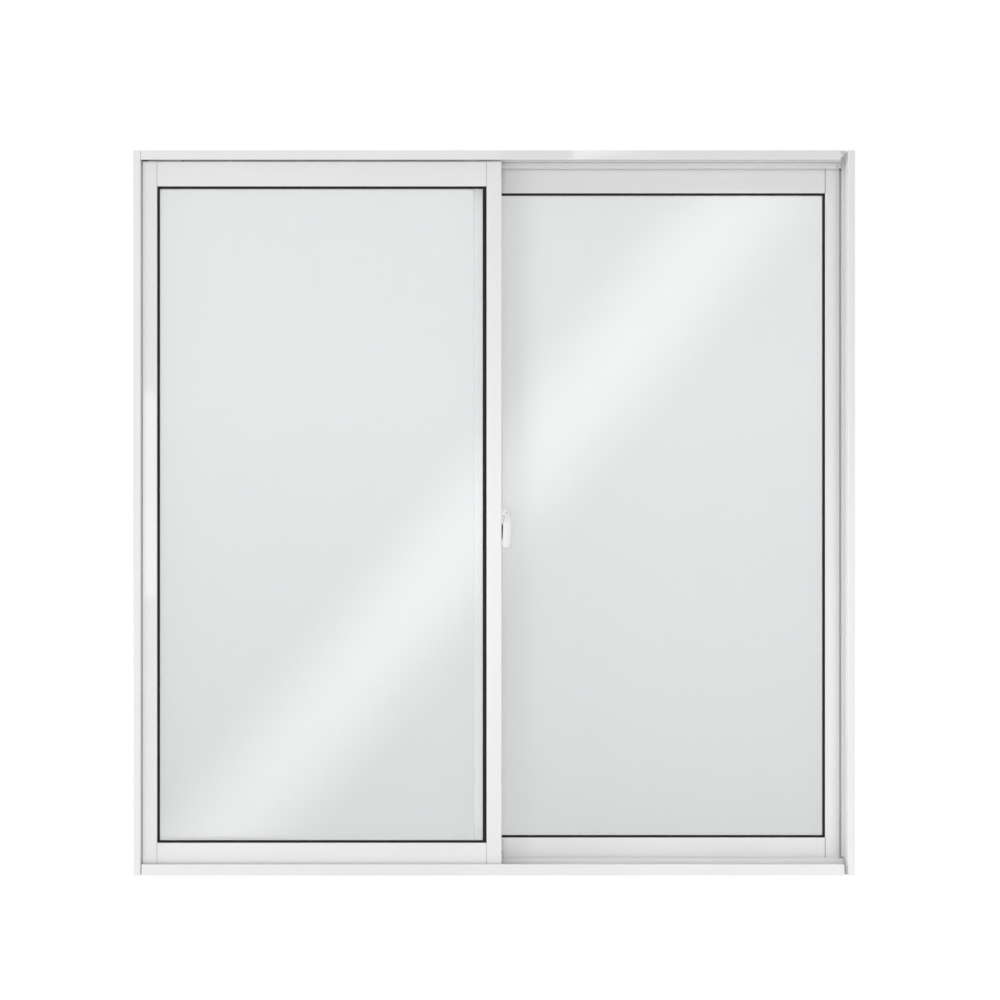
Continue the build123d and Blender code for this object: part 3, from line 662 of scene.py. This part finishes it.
def makeCard(name, x, z, glow, y=-4.0, fades=False, blocks=False):
    # A softbox panel that only mirrored rays meet
    material, tree = newMaterial(name + "Panel")
    if fades:
        (x0, z0), (x1, z1) = bandLine["start"], bandLine["end"]
        long = math.hypot(x1 - x0, z1 - z0)
        place = addNode(tree, "ShaderNodeTexCoord", output="Object")
        offset = addNode(tree, "ShaderNodeVectorMath", {"operation": "SUBTRACT", 0: place, 1: (x0, 0, z0)})
        beside = addNode(tree, "ShaderNodeVectorMath", {
            "operation": "DOT_PRODUCT", 0: offset, 1: ((z1 - z0) / long, 0, (x0 - x1) / long)}, "Value")
        away = addMath(tree, "ABSOLUTE", beside)
        glow = addRange(tree, away, 0.0, bandLine["halfWidth"], glow, 0.0, "SMOOTHSTEP")
    light = addNode(tree, "ShaderNodeEmission", {"Strength": glow})
    clear = addNode(tree, "ShaderNodeBsdfTransparent", {"Color": (0, 0, 0, 1) if blocks else (1, 1, 1, 1)})
    surface = addNode(tree, "ShaderNodeAddShader", {0: light, 1: clear})
    addNode(tree, "ShaderNodeOutputMaterial", {"Surface": surface})
    card = addPlane(name, [(x[0], y, z[0]), (x[1], y, z[0]), (x[1], y, z[1]), (x[0], y, z[1])], material)
    card.visible_camera = card.visible_diffuse = card.visible_transmission = card.visible_shadow = False


makeWorld()
makeFloor()
for name, card in cards.items():
    makeCard(name, **card)

# soft light from the left and low light from the front; the sill lamp fills the trough of the sill, and
# the back lamp lights the outside
windowMiddle = (0.0, 0.0, 0.6)
lamps = {
    "leftLamp": {"at": (-3.6, -2.8, 1.1), "to": windowMiddle, "size": 1.6, "power": 23.0},
    "sideLamp": {"at": (-8.0, -1.2, 1.4), "to": windowMiddle, "size": 2.0, "power": 170.0},
    "keyLamp": {"at": (-1.0, -1.2, 1.5), "to": (-0.4, 0.0, 1.1), "size": 0.8, "power": 1.1},
    "lowLeftLamp": {"at": (-0.4, -2.7, 0.5), "to": windowMiddle, "size": 0.9, "power": 7.6},
    "lowRightLamp": {"at": (1.2, -2.7, 0.5), "to": windowMiddle, "size": 0.7, "power": 8.2},
    "sillLamp": {"at": (0.45, -2.0, 1.3), "to": (0.35, 0.0, 0.0), "size": 0.6, "power": 0.36, "spread": 45.0},
    "backLamp": {"at": (1.8, 2.6, 2.6), "to": windowMiddle, "size": 1.6, "power": 22.0},
}
for name, lamp in lamps.items():
    data = bpy.data.lights.new(name, "AREA")
    data.shape = "DISK"
    data.size, data.energy = lamp["size"], lamp["power"]
    data.spread = math.radians(lamp.get("spread", 180.0))
    light = bpy.data.objects.new(name, data)
    scene.collection.objects.link(light)
    aim = Vector(lamp["to"]) - Vector(lamp["at"])
    light.location = lamp["at"]
    light.rotation_euler = aim.to_track_quat("-Z", "Y").to_euler()
    light.visible_glossy = light.visible_transmission = light.visible_camera = False

view = {"at": (0.0, -1.8875, 0.5265), "sensor": 36.0, "lens": 40.05, "shiftX": 0.00575, "shiftY": 0.059}
cameraData = bpy.data.cameras.new("camera")
cameraData.sensor_width, cameraData.lens = view["sensor"], view["lens"]
cameraData.shift_x, cameraData.shift_y = view["shiftX"], view["shiftY"]
camera = bpy.data.objects.new("camera", cameraData)
camera.location = view["at"]
camera.rotation_euler = (math.pi / 2, 0.0, 0.0)
scene.collection.objects.link(camera)
scene.camera = camera
scene.view_settings.view_transform = "Standard"

print("stage, lamps and camera set")
